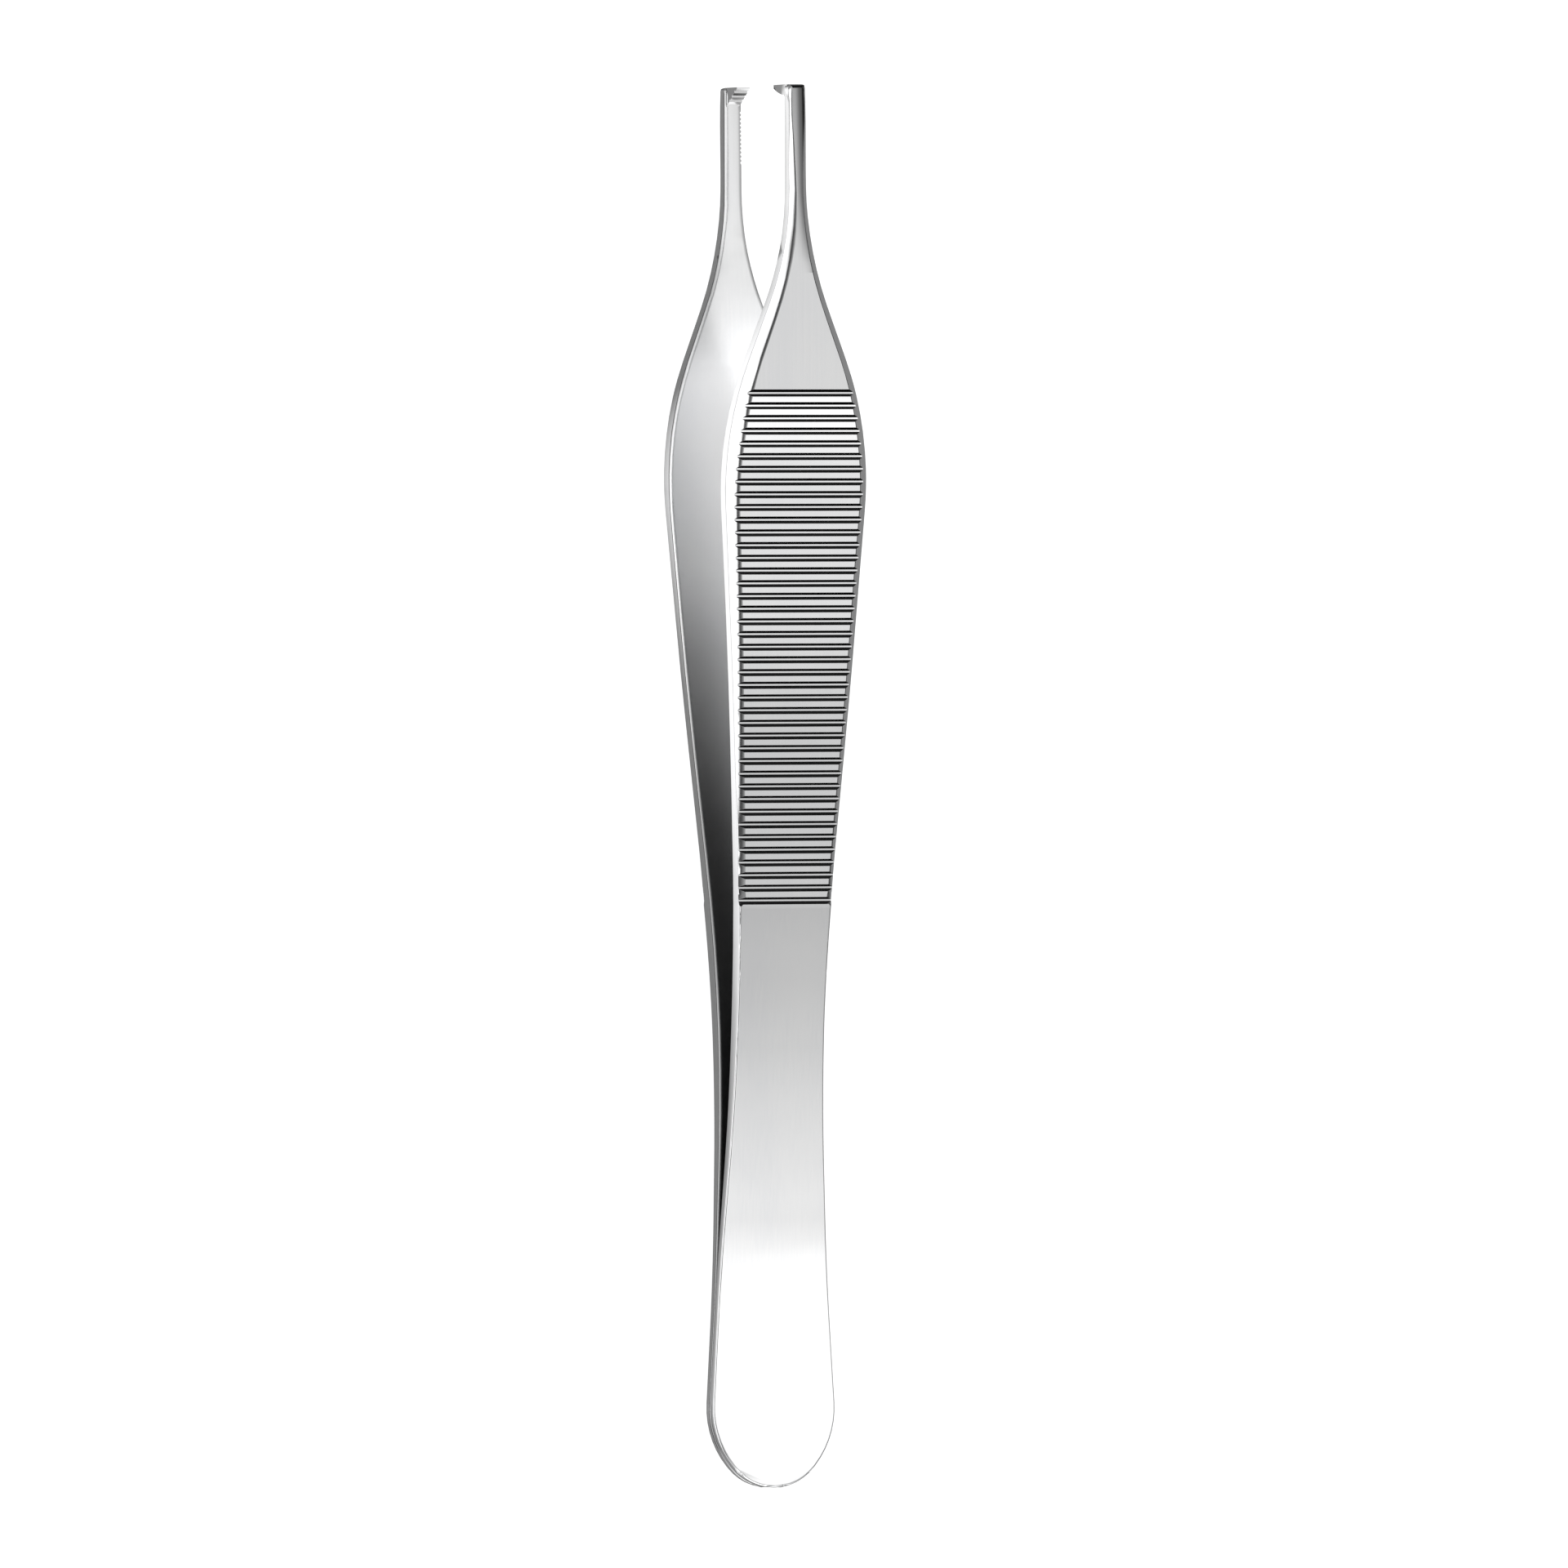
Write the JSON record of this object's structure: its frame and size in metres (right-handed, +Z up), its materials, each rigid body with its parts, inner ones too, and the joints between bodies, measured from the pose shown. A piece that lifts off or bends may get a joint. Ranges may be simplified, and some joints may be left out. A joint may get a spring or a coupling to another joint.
{
  "type": "thumb forceps",
  "caption": "Broad-handled spring thumb forceps with a cross-grooved finger grip, slim jaws and hooked tips, for holding tissue.",
  "frame": {"origin": "centre of the footprint's box, on the surface that the forceps lies on", "axes": "+X along the forceps from the welded butt to the tips, +Z up, from the lower blade to the upper one"},
  "size_m": [0.1202, 0.013, 0.0182],
  "materials": {
    "satin_steel": "satin"
  },
  "bodies": {
    "root": {"upper_blade": "satin_steel", "lower_blade": "satin_steel"}
  },
  "joints": []
}
